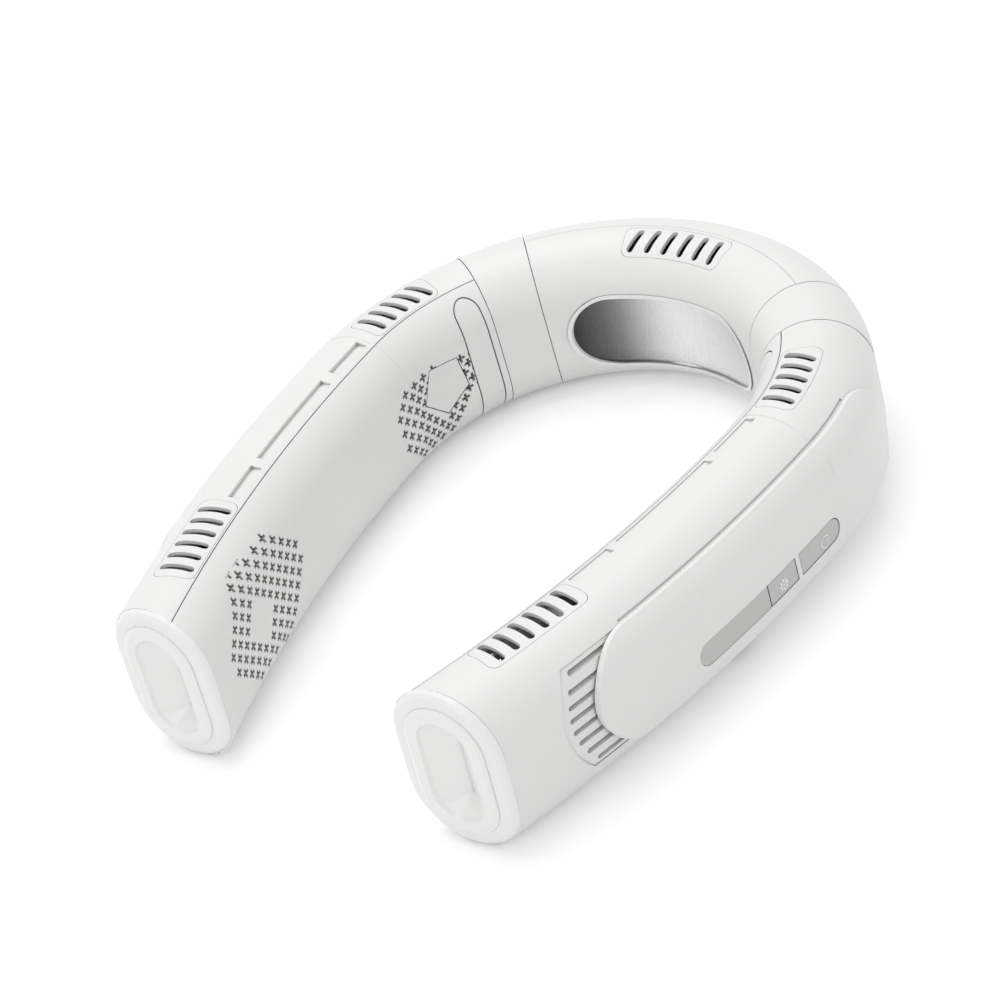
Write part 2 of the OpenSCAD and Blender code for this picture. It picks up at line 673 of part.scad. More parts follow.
// Cross-shaped perforations: rows of a lattice that stands on its corner. Each entry
// gives the first and last column of a row, counted from the middle
front_rows = [[-1, 3], [-2, 4], [-4, 4], [-5, 4], [-5, 4], [-5, 4], [-5, 4], [-5, 4], [-5, 2],
    [-5, 1], [-4, 0]];
rear_rows = [[3, 3], [2, 4], [1, 5], [-1, 4], [-2, 4], [-3, 4], [-4, 4], [-4, 4], [-4, 3],
    [-3, 2], [-2, 1]];
module cross() {
    for (turn = [0, 90]) rotate([0, turn, 0]) translate([-cross_len / 2, -case_w, -cross_w / 2])
        cube([cross_len, case_w - round_r + 2 * wall, cross_w]);
}
// Row j and column i lie on the two diagonals of the arm's face
module perforations(place, rows, blank_row, blank_from, blank_to) {
    middle_row = (len(rows) - 1) / 2;
    for (j = [0:len(rows) - 1], i = [rows[j][0]:rows[j][1]])
        if (!(abs(j - blank_row) <= 1 && i >= blank_from && i <= blank_to))
            at(place - (i - (j - middle_row)) * perf_step)
                translate([0, 0, patch_height - (i + (j - middle_row)) * perf_rise]) cross();
}
module strip_shape(grow) {
    half = strip_w / 2 + grow;
    at(strip_place) translate([0, -case_w, 0]) outward() linear_extrude(case_w - arm_split) {
        translate([-half, strip_w / 2 - strip_top]) square([2 * half, case_h]);
        translate([0, strip_w / 2 - strip_top]) circle(half, $fn = small_facets);
    }
}
// Five-sided inset between the hinge and the rear perforations
inset_place = 101;
inset_r = 9.2;
inset_height = patch_height;
inset_turn = 8;
inset_sides = 5;
module inset_shape(grow) at(inset_place) translate([0, -case_w, inset_height]) outward()
    linear_extrude(case_w) polygon([for (i = [0:inset_sides - 1])
        (inset_r + grow) * [cos(inset_turn + i * 360 / inset_sides), sin(inset_turn + i * 360 / inset_sides)]]);
inset_depth = 0.8;
strip_depth = 1;
module inner_panel() difference() {
    arm_ring() neck_part(-arm_split - parting / 2) ring(0, wall);
    past_tip();
    perforations(front_patch, front_rows, 6, -2, 0);
    perforations(rear_patch, rear_rows, 5, 0, 2);
    intersection() {
        arm_ring() neck_part(-arm_split) ring(-over, strip_depth);
        strip_shape(strip_groove);
    }
    intersection() {
        arm_ring() neck_part(-arm_split) ring(-over, inset_depth);
        inset_shape(strip_groove);
    }
}
module left_inner_panel() color("white") left() inner_panel();
module right_inner_panel() color("white") right() inner_panel();
module hinge_cover() intersection() {
    arm_ring() neck_part(-arm_split - parting / 2) ring(0, strip_depth);
    strip_shape(0);
}
module left_hinge_cover() color("whitesmoke") left() hinge_cover();
module right_hinge_cover() color("whitesmoke") right() hinge_cover();
module inset_panel() intersection() {
    arm_ring() neck_part(-round_r / 2) ring(clip_gap, inset_depth);
    inset_shape(0);
}
module left_inset_panel() color("gainsboro") left() inset_panel();
module right_inset_panel() color("gainsboro") right() inset_panel();

// Louvres, intake grilles and cover plates of the arms

module front_louvre() louvre(front_louvre_start, front_louvre_end, -slot_in, slot_out, front_slots,
    turn_at((front_louvre_start + front_louvre_end) / 2));
module rear_arm_louvre() louvre(rear_louvre_start, rear_louvre_end, -slot_in, slot_out, rear_slots,
    back_turn);
module left_front_louvre() color("whitesmoke") left() front_louvre();
module right_front_louvre() color("whitesmoke") right() front_louvre();
module left_rear_louvre() color("whitesmoke") left() rear_arm_louvre();
module right_rear_louvre() color("whitesmoke") right() rear_arm_louvre();

intake_pitch = (intake_top - intake_bottom) / intake_slots;
// Distance from the middle of the intake down to the middle of slot i
function slot_drop(i) = intake_height - intake_top + (i + 0.5) * intake_pitch;
module intake_grille() {
    intersection() {
        arm_ring() outer_part(0) ring(intake_recess, intake_recess + intake_t);
        intake_cut() difference() {
            intake_plan(0);
            for (i = [0:intake_slots - 1]) translate([0, slot_drop(i)])
                oblong(2 * sqrt(pow(intake_r - intake_margin, 2) - pow(slot_drop(i), 2)), intake_slot_w);
        }
    }
    intersection() {
        arm_ring() outer_part(0) ring(wall, wall + flange_t);
        intake_cut() difference() {
            intake_plan(flange_w);
            intake_plan(-flange_w / 2);
        }
    }
}
module left_intake_grille() color("gainsboro") left() intake_grille();
module right_intake_grille() color("gainsboro") right() intake_grille();

// Cover plate: a raised pad on the outer face with round ends
cover_r = (cover_high - cover_low) / 2;
cover_mid = (cover_high + cover_low) / 2;
// What is cut from the plate beyond each round shoulder
module cover_shoulder_cut(centre, way) difference() {
    translate([0, centre]) mirror([0, way > 0 ? 0 : 1]) square([2 * case_w, case_h]);
    translate([cover_shoulder, centre])
        circle((round_r + cover_t - cover_shoulder) / cos(side_angle), $fn = section_facets);
}
// A sweep whose two arcs run past their joint by a lap
module lapped_sweep(from, to, lap) {
    back_sweep(turn_at(from), back_turn + back_angle(lap)) children();
    arm_sweep(back_turn - arm_angle(lap), turn_at(to)) children();
}
// The plate's block: an upright band, hollowed to the case, with round shoulders
joint_lap = 0.8;
module cover_band(lap) difference() {
    translate([0, 0, cover_low]) linear_extrude(cover_high - cover_low)
        band_plan(cover_start - over, cover_end + over, case_w / 4, round_r + cover_t);
    lapped_sweep(cover_start - 2 * over, cover_end + 2 * over, lap) section(-clip_gap);
    lapped_sweep(cover_start - 2 * over, cover_end + 2 * over, lap) cover_shoulder_cut(high_centre, 1);
    lapped_sweep(cover_start - 2 * over, cover_end + 2 * over, lap) cover_shoulder_cut(low_centre, -1);
}
// Groove in the shell along the upper edge of the plate
cover_edge_u = sqrt(pow((round_r + clip_gap) / cos(side_angle), 2) - pow(cover_high - high_centre, 2));
module cover_groove() translate([0, 0, cover_high]) linear_extrude(case_h)
    band_plan(cover_start + cover_r, cover_end - cover_r, cover_edge_u - cover_groove_w,
        cover_edge_u + over);
module cover_end_cut(s, way) difference() {
    at(s) translate([way > 0 ? 0 : -case_w, 0, cover_low - over]) cube([case_w, case_w,
        2 * cover_r + 2 * over]);
    round_cut(s, cover_mid, cover_r);
}
module cover_plate(with_keys) difference() {
    cover_band(with_keys ? 0 : joint_lap);
    cover_end_cut(cover_end - cover_r, 1);
    cover_end_cut(cover_start + cover_r, -1);
    if (with_keys) control_cut() {
        control_plan(0, control_start, power_key_end);
        control_plan(0, fan_key_start, control_end);
    }
}
module left_cover_plate() color("white") left() cover_plate(false);
module right_cover_plate() color("white") right() cover_plate(true);

// Controls on the right arm

power_key_end = control_start + power_key_len;
fan_key_start = power_key_end + key_web;
fan_key_end = fan_key_start + fan_key_len;
power_key_place = control_start + power_key_len / 2;
fan_key_place = fan_key_start + fan_key_len / 2;
control_mid = (control_start + control_end) / 2;
// Distance on the outer face, along the straight strip, from its middle to a place
function along(s) = (arm_radius + round_r) * sin(arm_angle(s - control_mid));
strip_len = along(control_end) - along(control_start);
// Part of the oblong strip between two places, inset all round
module control_plan(inset, from, to) {
    first = from > control_start ? along(from) + inset : -strip_len;
    last = to < control_end ? along(to) - inset : strip_len;
    intersection() {
        oblong(strip_len - 2 * inset, control_w - 2 * inset);
        translate([first, -control_w]) square([last - first, 2 * control_w]);
    }
}
module control_cut() at(control_mid) translate([0, 0, control_height]) outward()
    linear_extrude(case_w) children();
key_face = -cover_t + clip_gap;
module key(from, to) {
    intersection() {
        sweep(from - over, to + over) outer_part(0) ring(key_face, key_face + key_t);
        control_cut() control_plan(key_gap, from, to);
    }
    at((from + to) / 2) translate([0, stem_end, control_height]) outward()
        cylinder(d = stem_d, h = round_r - key_face - key_t / 2 - stem_end, $fn = small_facets);
}
board_t = 1;
board_u = 9.6;
switch_h = 1.6;
switch_w = 3.4;
stem_end = board_u + board_t + switch_h + key_travel + key_gap;
module fan_button() color("silver") right() key(fan_key_start, fan_key_end);
module power_button() color("silver") right() key(control_start, power_key_end);
module display_window() color("silver") right() intersection() {
    sweep(fan_key_end - over, control_end + over) outer_part(0) ring(key_face, -clip_gap);
    control_cut() control_plan(clip_gap, fan_key_end, control_end);
}
board_len = 60;
board_h = 21;
board_place = 148;
board_low = 8;
module control_board() color("seagreen") right() {
    at(board_place) translate([-board_len / 2, board_u, board_low]) cube([board_len, board_t, board_h]);
    for (s = [power_key_place, fan_key_place]) at(s)
        translate([-switch_w / 2, board_u + board_t / 2, control_height - switch_w / 2])
            cube([switch_w, switch_h + board_t / 2, switch_w]);
}
// Charging socket on the underside, its mouth in the round of the case
usb_w = 9;
usb_t = 3.2;
usb_len = 7.4;
usb_wall = 0.4;
usb_place = 158;
usb_u = board_u - usb_t / 2 - clip_gap;
usb_mouth = low_centre - sqrt(pow(round_r, 2) - pow(board_u, 2)) + wall / 4;
module usb_opening() at(usb_place) translate([0, usb_u, -over]) linear_extrude(usb_len)
    oblong(usb_w + 2 * clip_gap, usb_t + 2 * clip_gap);
module usb_socket() color("silver") right() at(usb_place) translate([0, usb_u, usb_mouth]) {
    difference() {
        linear_extrude(usb_len) oblong(usb_w, usb_t);
        translate([0, 0, -over]) linear_extrude(usb_len + over - usb_wall)
            oblong(usb_w - 2 * usb_wall, usb_t - 2 * usb_wall);
    }
    translate([-usb_w / 4, -usb_wall, usb_wall]) cube([usb_w / 2, 2 * usb_wall, usb_len - 2 * usb_wall]);
}

// End caps

// Oblong outline of the case where it is cut square to the wearer, inset by t
module tip_outline(t) {
    r = round_r - t;
    hull() for (v = [low_centre + rest_cut, high_centre])
        translate([0, v]) scale([1 / cos(tip_lean), 1]) circle(r, $fn = section_facets / 2);
}
module tip_slice(t, y) translate([tip_x, -tip_reach - y, 0]) rotate([90, 0, 0])
    linear_extrude(clip_gap / 2) tip_outline(t);
pocket_in = cap_ring_w + cap_lip_w;
// Rounding of the ring and of the lip: how far in, and how far forward, each step lies
ring_in_shares = [0, 0.14, 0.38, 1];
ring_out_shares = [0, 0.55, 0.88, 1];
lip_in_shares = [0, 0.1, crest_share, 1];
lip_out_shares = [0.2, 0.8, 1, 0.9];
crease_low_share = 0.28;
crease_high_share = 0.78;
module end_cap() difference() {
    union() {
        tilted() hull() for (i = [0:3])
            tip_slice(cap_ring_w * ring_in_shares[i], cap_ring * ring_out_shares[i]);
        tilted() hull() for (i = [0:3])
            tip_slice(cap_ring_w + cap_lip_w * lip_in_shares[i], cap_lip * lip_out_shares[i]);
        intersection() {
            arm_sweep(back_turn, tip_turn) section(wall + clip_gap);
            tilted() translate([tip_x - 2 * case_w, -tip_reach - cap_ring / 2, -case_w])
                cube([4 * case_w, cap_plug + cap_ring / 2, case_h + 2 * case_w]);
        }
    }
    // Pocket with two sloping walls that meet in an upright crease
    tilted() hull() {
        tip_slice(pocket_in, cap_lip + over);
        tip_slice(pocket_in + cap_lip_w / 4, cap_lip - over);
        translate([tip_x, -tip_reach - cap_lip + cap_pocket, crease_low_share * case_h])
            cube([clip_gap, clip_gap, (crease_high_share - crease_low_share) * case_h]);
    }
}
module left_end_cap() color("white") left() end_cap();
module right_end_cap() color("white") right() end_cap();

// Battery cells

cell_d = 18.4;
cell_len = 65;
cell_place = 150.5;
cell_u = -5.2;
cell_v = mid_h;
cell_crimp = 1.2;
module battery() at(cell_place) translate([-cell_len / 2, cell_u, cell_v]) rotate([0, 90, 0]) {
    cylinder(d = cell_d, h = cell_len - 2 * cell_crimp, $fn = section_facets);
    cylinder(d = cell_d - cell_crimp, h = cell_len - cell_crimp, $fn = section_facets);
    cylinder(d = cell_d / 3, h = cell_len, $fn = small_facets);
}
module left_battery() color("steelblue") left() battery();
module right_battery() color("steelblue") right() battery();

// Blowers

blower_place = 204;
blower_v = mid_h;
blower_margin = 6.7;
blower_r = mid_h - blower_margin;
blower_wall = 1.2;
blower_back = -7.5;
blower_h = 14;
duct_margin = 5.1;
duct_top = mid_h - duct_margin;
inlet_r = 11;
foot_d = 4;
rotor_gap = 2.8;
rotor_r = blower_r - rotor_gap;
rotor_start = -5;
rotor_h = 9.6;
rotor_plate = 0.8;
hub_d = 16.4;
hub_h = 7;
blade_t = 0.6;
blade_len = 5;
blade_turn = 32;
blades = 24;
module at_blower(u) at(blower_place) translate([0, u, blower_v]) outward() children();
// Volute outline: a round chamber with a straight outlet toward the louvre
module volute(t, extra = 0) {
    circle(blower_r - t, $fn = section_facets);
    translate([t, t - duct_top - extra]) square([blower_r - 2 * t, duct_top + extra - t]);
}
module blower_housing() {
    at_blower(blower_back) difference() {
        linear_extrude(blower_h) volute(0);
        translate([0, 0, blower_wall]) linear_extrude(blower_h) volute(blower_wall, over + blower_wall);
        blower_screw_places() cylinder(d = screw_d, h = case_h, $fn = small_facets);
    }
    at_blower(blower_back) difference() {
        blower_screw_places() translate([0, 0, -foot_len]) cylinder(d = foot_d, h = foot_len
            + blower_h, $fn = small_facets);
        blower_screw_places() cylinder(d = screw_d + clip_gap / 2, h = case_h, $fn = small_facets);
        translate([0, 0, blower_wall]) cylinder(r = blower_r - blower_wall, h = blower_h,
            $fn = section_facets);
    }
}
// The feet stop short of the wall at the height of the highest one
screw_turns = [35, 145, 215];
foot_high = blower_v - blower_r * sin(screw_turns[2]) + foot_d / 2 - high_centre;
foot_len = sqrt(pow(round_r - wall, 2) - pow(max(foot_high, 0), 2)) + blower_back - 3 * clip_gap;
module blower_screw_places() for (turn = screw_turns) rotate([0, 0, turn])
    translate([blower_r, 0, 0]) children();
lid_t = 1;
module blower_lid() at_blower(blower_back + blower_h + clip_gap / 2) difference() {
    union() {
        linear_extrude(lid_t) volute(0);
        blower_screw_places() cylinder(d = foot_d, h = lid_t, $fn = small_facets);
    }
    translate([0, 0, -over]) cylinder(r = inlet_r, h = lid_t + 2 * over, $fn = section_facets);
    blower_screw_places() translate([0, 0, -over]) cylinder(d = screw_d + 2 * clip_gap,
        h = lid_t + 2 * over, $fn = small_facets);
}
module blower_screws() at_blower(blower_back + blower_h + lid_t + clip_gap) blower_screw_places()
    mirror([0, 0, 1]) screw(screw_len);
screw_len = 8;
module blower_motor() at_blower(blower_back + blower_wall) stator(hub_d - 2 * cup_wall - over,
    rotor_start - blower_back - blower_wall + hub_h - 2 * cup_wall);
module impeller() at_blower(rotor_start) {
    difference() {
        union() {
            cylinder(r = rotor_r, h = rotor_plate, $fn = section_facets);
            cylinder(d = hub_d, h = hub_h, $fn = section_facets);
        }
        translate([0, 0, -over]) cylinder(d = hub_d - 2 * cup_wall, h = hub_h - cup_wall + over,
            $fn = section_facets);
        translate([0, 0, -over]) cylinder(d = shaft_d, h = rotor_h + 2 * over, $fn = small_facets);
    }
    translate([0, 0, rotor_plate / 2]) linear_extrude(rotor_h - rotor_plate)
        for (i = [0:blades - 1]) rotate([0, 0, i * 360 / blades]) translate([rotor_r - blade_len, 0])
            rotate([0, 0, blade_turn]) translate([0, -blade_t / 2]) square([blade_len, blade_t]);
    translate([0, 0, rotor_h - rotor_plate]) linear_extrude(rotor_plate) difference() {
        circle(rotor_r, $fn = section_facets);
        circle(rotor_r - 2 * rotor_plate, $fn = section_facets);
    }
}
module motor_shaft() at_blower(blower_back + blower_wall + clip_gap) cylinder(d = shaft_d,
    h = rotor_start + hub_h - blower_back - blower_wall - clip_gap, $fn = small_facets);
module left_blower_housing() color("gainsboro") left() blower_housing();
module right_blower_housing() color("gainsboro") right() blower_housing();
module left_blower_lid() color("gainsboro") left() blower_lid();
module right_blower_lid() color("gainsboro") right() blower_lid();
module left_blower_motor() color("peru") left() blower_motor();
module right_blower_motor() color("peru") right() blower_motor();
module left_impeller() color("dimgray") left() impeller();
module right_impeller() color("dimgray") right() impeller();
module left_motor_shaft() color("silver") left() motor_shaft();
module right_motor_shaft() color("silver") right() motor_shaft();
module left_blower_screws() color("dimgray") left() blower_screws();
module right_blower_screws() color("dimgray") right() blower_screws();

rear_outer_shell();
rear_inner_shell();
rear_louvre();
plate_rim();
cooling_plate();
thermoelectric_module();
heat_sink();
heat_sink_screws();
rear_fan_frame();
rear_fan_motor();
rear_fan_impeller();
rear_fan_shaft();
left_collar();
right_collar();
left_hinge_pin();
right_hinge_pin();
left_outer_shell();
right_outer_shell();
left_inner_panel();
right_inner_panel();
left_cover_plate();
right_cover_plate();
left_front_louvre();
right_front_louvre();
left_rear_louvre();
right_rear_louvre();
left_intake_grille();
right_intake_grille();
left_hinge_cover();
right_hinge_cover();
left_inset_panel();
right_inset_panel();
left_end_cap();
right_end_cap();
left_battery();
right_battery();
left_blower_housing();
right_blower_housing();
left_blower_lid();
right_blower_lid();
left_blower_motor();
right_blower_motor();
left_impeller();
right_impeller();
left_motor_shaft();
right_motor_shaft();
left_blower_screws();
right_blower_screws();
display_window();
fan_button();
power_button();
control_board();
usb_socket();
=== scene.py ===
# %% [markdown]
# # An electric neck fan, dressed for its photograph
# The CAD model gives the housing, its louvres, the cold plate, the arms and everything inside them.
# This script gives them their plastics and metals, softens the moulded edges, prints the two key
# symbols, and lights the fan as a small product on a pale table.

# %% Load the frame
import json
import math

import bmesh
import bpy
from mathutils import Matrix, Vector


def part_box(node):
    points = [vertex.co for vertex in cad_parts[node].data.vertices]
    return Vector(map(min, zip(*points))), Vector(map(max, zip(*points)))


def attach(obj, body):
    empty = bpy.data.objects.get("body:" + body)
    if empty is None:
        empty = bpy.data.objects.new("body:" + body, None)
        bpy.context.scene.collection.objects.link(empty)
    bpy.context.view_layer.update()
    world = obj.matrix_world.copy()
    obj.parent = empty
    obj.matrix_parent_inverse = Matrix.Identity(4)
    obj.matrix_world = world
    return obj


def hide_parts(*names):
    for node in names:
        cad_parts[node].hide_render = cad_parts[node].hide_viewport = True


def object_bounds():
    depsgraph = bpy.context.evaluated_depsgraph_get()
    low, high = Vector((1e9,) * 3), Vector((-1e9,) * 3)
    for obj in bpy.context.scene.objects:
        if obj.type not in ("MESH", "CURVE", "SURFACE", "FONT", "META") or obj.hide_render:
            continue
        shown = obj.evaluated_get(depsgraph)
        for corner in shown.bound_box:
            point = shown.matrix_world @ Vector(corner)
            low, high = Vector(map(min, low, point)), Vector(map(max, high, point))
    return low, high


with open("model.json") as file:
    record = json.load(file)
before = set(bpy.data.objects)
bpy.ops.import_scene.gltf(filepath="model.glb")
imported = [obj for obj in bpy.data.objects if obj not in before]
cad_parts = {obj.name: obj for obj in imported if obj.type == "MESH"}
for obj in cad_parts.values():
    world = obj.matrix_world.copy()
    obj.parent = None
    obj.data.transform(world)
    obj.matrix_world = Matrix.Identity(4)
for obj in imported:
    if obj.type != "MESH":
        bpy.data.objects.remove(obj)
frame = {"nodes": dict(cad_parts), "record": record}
nodes = frame["nodes"]
cad_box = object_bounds()
MM = 0.001  # one millimetre, in metres


def new_object(name, data):
    """A new object in the scene that holds this mesh, lamp or camera."""
    made = bpy.data.objects.new(name, data)
    bpy.context.scene.collection.objects.link(made)
    return made


# %% [markdown]
# The photograph was taken from high in front, half way round to the wearer's left, with a long lens,
# so the arms hardly shrink with distance. The camera is also rolled, which is why the fan climbs
# across the picture. The three angles are in radians, and the focal length is a share of the sensor.

# %% Camera
TURN = 0.785404
HEIGHT = 0.613259
ROLL = -0.299090
PLACE = Vector((446.964, -462.000, 474.286)) * MM
SENSOR_WIDTH = 36  # mm
FOCAL_SHARE = 2.72663
VIEW_START = 0.01  # metres from the lens

forward = Vector((-math.sin(TURN) * math.cos(HEIGHT), math.cos(TURN) * math.cos(HEIGHT),
                  -math.sin(HEIGHT)))
level = forward.cross(Vector((0, 0, 1))).normalized()
upright = level.cross(forward)
right = math.cos(ROLL) * level + math.sin(ROLL) * upright
up = math.cos(ROLL) * upright - math.sin(ROLL) * level

lens = bpy.data.cameras.new("camera")
lens.sensor_width = SENSOR_WIDTH
lens.lens = SENSOR_WIDTH * FOCAL_SHARE
lens.clip_start = VIEW_START
camera = new_object("camera", lens)
camera.matrix_world = Matrix((
    (right.x, up.x, -forward.x, PLACE.x),
    (right.y, up.y, -forward.y, PLACE.y),
    (right.z, up.z, -forward.z, PLACE.z),
    (0, 0, 0, 1),
))
bpy.context.scene.camera = camera
print("lens", round(lens.lens, 1), "mm")

# %% [markdown]
# Four helpers serve every finish. One turns the colours that people write, such as #F0F0F0, into the
# linear light that the shader works in. One adds a node, sets it and links it in one line. The other
# two open an empty material and send a shader to its surface.


# %% Helpers for the finishes
def linear(colour):
    """The linear RGBA of an sRGB hex colour."""
    values = [int(colour[i:i + 2], 16) / 255 for i in (1, 3, 5)]
    curve = [v / 12.92 if v <= 0.04045 else ((v + 0.055) / 1.055) ** 2.4 for v in values]
    return (*curve, 1)


def add(tree, kind, inputs=None, **settings):
    """One node: settings are its own options, inputs are values or the sockets that feed it."""
    made = tree.nodes.new(kind)
    for name, value in settings.items():
        setattr(made, name, value)
    for socket, value in (inputs or {}).items():
        if isinstance(value, bpy.types.NodeSocket):
            tree.links.new(value, made.inputs[socket])
        else:
            made.inputs[socket].default_value = value
    return made


def new_finish(name):
    """An empty material and its node tree."""
    made = bpy.data.materials.new(name)
    made.use_nodes = True
    made.node_tree.nodes.clear()
    return made, made.node_tree


def show(tree, shader):
    """Send a shader to the material's surface."""
    add(tree, "ShaderNodeOutputMaterial", {"Surface": shader.outputs[0]})


print("the grey #808080 is", round(linear("#808080")[0], 3), "of white in linear light")

# %% [markdown]
# Plastics and metals share three steps: a noise whose grain is given in millimetres, a blend of two
# colours, and a gloss that follows the noise. Most of a noise lies between 0.3 and 0.7, so that part
# of it is stretched to the full range of the gloss.

# %% Noise, blend and gloss
NOISE_LOW, NOISE_HIGH = 0.3, 0.7


def noise(tree, place, grain, detail):
    """A noise node whose grain has this size in mm."""
    return add(tree, "ShaderNodeTexNoise", {"Vector": place, "Scale": 1 / (grain * MM), "Detail": detail})


def blend(tree, share, first, second, **settings):
    """The colour a share of the way from the first to the second."""
    return add(tree, "ShaderNodeMix", {"Factor": share, 6: first, 7: second}, data_type="RGBA",
               **settings).outputs[2]


def varied(tree, value, low, high):
    """A roughness between two limits that follows a noise."""
    return add(tree, "ShaderNodeMapRange", {
        "Value": value, "From Min": NOISE_LOW, "From Max": NOISE_HIGH, "To Min": low, "To Max": high,
    }).outputs["Result"]


print("noise from", NOISE_LOW, "to", NOISE_HIGH, "drives the gloss")

# %% [markdown]
# The housing is ABS, moulded in a steel tool whose walls were spark-eroded to a fine matt grain.
# The grain is about 0.1 mm, which is less than a pixel here, so it is drawn at 0.5 mm and very
# shallow. The moulding also shines a little more where the tool is worn, in patches of 30 mm. Where
# two walls stand within 1.6 mm, shade is painted into the colour: the plastic falls to a grey in its
# gaps.

# %% Moulded plastics
PLASTIC_IOR = 1.53
PATCH_SIZE = 30  # mm, a worn patch
PATCH_GLOSS = 0.03  # how far its roughness strays from the plastic's own
GRAIN_STRENGTH = 0.12
COAT_ROUGHNESS = 0.08
GLOW_REACH = 1.5  # mm that light spreads under the surface
# Painted shade: the colour falls towards a grey tone in gaps and creases, where walls stand close.
GAP_REACH = 1.6  # mm, how near a wall must be to shade another
GAP_RAYS = 8
GAP_FULL, GAP_NONE = 0.15, 0.85  # the open share of the view at which the gap's tone is full, and none
PAINTED_GAP_SHADE = "#8E8E8D"


def moulded_plastic(name, colour, shade, roughness, grain, depth, coat=0.0, soft=0.0):
    """Plastic from a textured tool. shade is its second tone, grain and depth are the texture's size
    and height in mm, coat is a clear gloss on top, and soft is the share of light that sinks in."""
    made, tree = new_finish(name)
    place = add(tree, "ShaderNodeTexCoord").outputs["Object"]
    patches = noise(tree, place, PATCH_SIZE, 2.0).outputs["Fac"]
    tone = blend(tree, patches, linear(colour), linear(shade))
    # Painted shade: an ambient occlusion node darkens the colour where another wall is near.
    near = add(tree, "ShaderNodeAmbientOcclusion", {"Distance": GAP_REACH * MM}, samples=GAP_RAYS)
    openness = add(tree, "ShaderNodeMapRange", {
        "Value": near.outputs["AO"], "From Min": GAP_FULL, "From Max": GAP_NONE}).outputs["Result"]
    bumps = noise(tree, place, grain, 3.0).outputs["Fac"]
    skin = add(tree, "ShaderNodeBump", {
        "Height": bumps, "Strength": GRAIN_STRENGTH, "Distance": depth * MM}).outputs["Normal"]
    show(tree, add(tree, "ShaderNodeBsdfPrincipled", {
        "Base Color": blend(tree, openness, linear(PAINTED_GAP_SHADE), tone),
        "Roughness": varied(tree, patches, roughness - PATCH_GLOSS, roughness + PATCH_GLOSS),
        "IOR": PLASTIC_IOR, "Coat Weight": coat, "Coat Roughness": COAT_ROUGHNESS,
        "Subsurface Weight": soft, "Subsurface Scale": GLOW_REACH * MM, "Normal": skin}))
    return made


matt_abs = moulded_plastic("matt_white_abs", "#EFEFEE", "#EBEBEA", 0.44, 0.5, 0.04)
cover_abs = moulded_plastic("satin_white_abs", "#F0F0EF", "#ECECEB", 0.36, 0.5, 0.03)
polished_abs = moulded_plastic("polished_white_abs", "#F6F6F5", "#F3F3F2", 0.24, 0.8, 0.01,
                               coat=0.3, soft=0.05)
key_abs = moulded_plastic("light_grey_abs", "#CACAC9", "#C5C5C4", 0.34, 0.4, 0.03)
black_pbt = moulded_plastic("black_glass_filled_pbt", "#1B1B1C", "#242425", 0.42, 0.4, 0.04)
print("plastics:", [m.name for m in (matt_abs, cover_abs, polished_abs, key_abs, black_pbt)])

# %% [markdown]
# Inside are an extruded aluminium heat sink, ground steel pins and copper windings. Each has fine
# marks from its tool, drawn as a noise, which is stretched on the sink, where they run one way.

# %% Metals
METAL_GLOSS = 0.05  # how far a mark's roughness strays from the metal's own


def ground_metal(name, colour, shade, roughness, line, stretch):
    """Metal ground along Z: lines of the given width in mm, stretched that many times in height."""
    made, tree = new_finish(name)
    place = add(tree, "ShaderNodeTexCoord").outputs["Object"]
    along = add(tree, "ShaderNodeMapping", {"Vector": place, "Scale": (1, 1, 1 / stretch)})
    lines = noise(tree, along.outputs["Vector"], line, 4.0).outputs["Fac"]
    show(tree, add(tree, "ShaderNodeBsdfPrincipled", {
        "Base Color": blend(tree, lines, linear(colour), linear(shade)),
        "Roughness": varied(tree, lines, roughness - METAL_GLOSS, roughness + METAL_GLOSS),
        "Metallic": 1.0}))
    return made


sink_metal = ground_metal("extruded_aluminium", "#C6C8CB", "#B4B6BA", 0.38, 0.4, 12)
steel = ground_metal("ground_steel", "#A9A9AB", "#9A9A9D", 0.25, 0.3, 1)
copper = ground_metal("lacquered_copper_wire", "#B9703F", "#9A5A30", 0.35, 0.4, 1)
print("metals:", [m.name for m in (sink_metal, steel, copper)])

# %% [markdown]
# The cold plate is rolled aluminium, bright as a blurred mirror, under clear anodising. Such a plate
# shows what stands round it: in the photograph one end mirrors a dark room and the rest the white
# case. A plain studio has nothing dark to mirror, so that reflection is painted into the metal's
# colour along the plate, from near black at one end, through a middle grey, to bright over its
# farther half. Fine upright roll marks, drawn 0.6 mm apart, blur its shine sideways.

# %% Cold plate
# Painted reflection: the metal's colour along the plate, from one end to the other.
PAINTED_REFLECTION_ALONG = [(0.0, "#363637"), (0.25, "#8C8C8D"), (0.5, "#DCDCDD"), (1.0, "#D0D0D1")]
MARK_SIZE = 0.6  # mm from one roll mark to the next
MARK_STRETCH = 40  # times as high as wide
MARK_SHARE = 0.025  # how much the marks tint the metal
PLATE_ROUGHNESS = (0.24, 0.3)
SIDEWAYS_BLUR = 0.4

plate_metal, tree = new_finish("anodised_aluminium_painted_reflection")
place = add(tree, "ShaderNodeTexCoord").outputs["Object"]
plate_low, plate_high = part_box("cooling_plate")
across = add(tree, "ShaderNodeSeparateXYZ", {"Vector": place}).outputs["X"]
share = add(tree, "ShaderNodeMapRange", {"Value": across, "From Min": plate_low[0],
                                         "From Max": plate_high[0]})
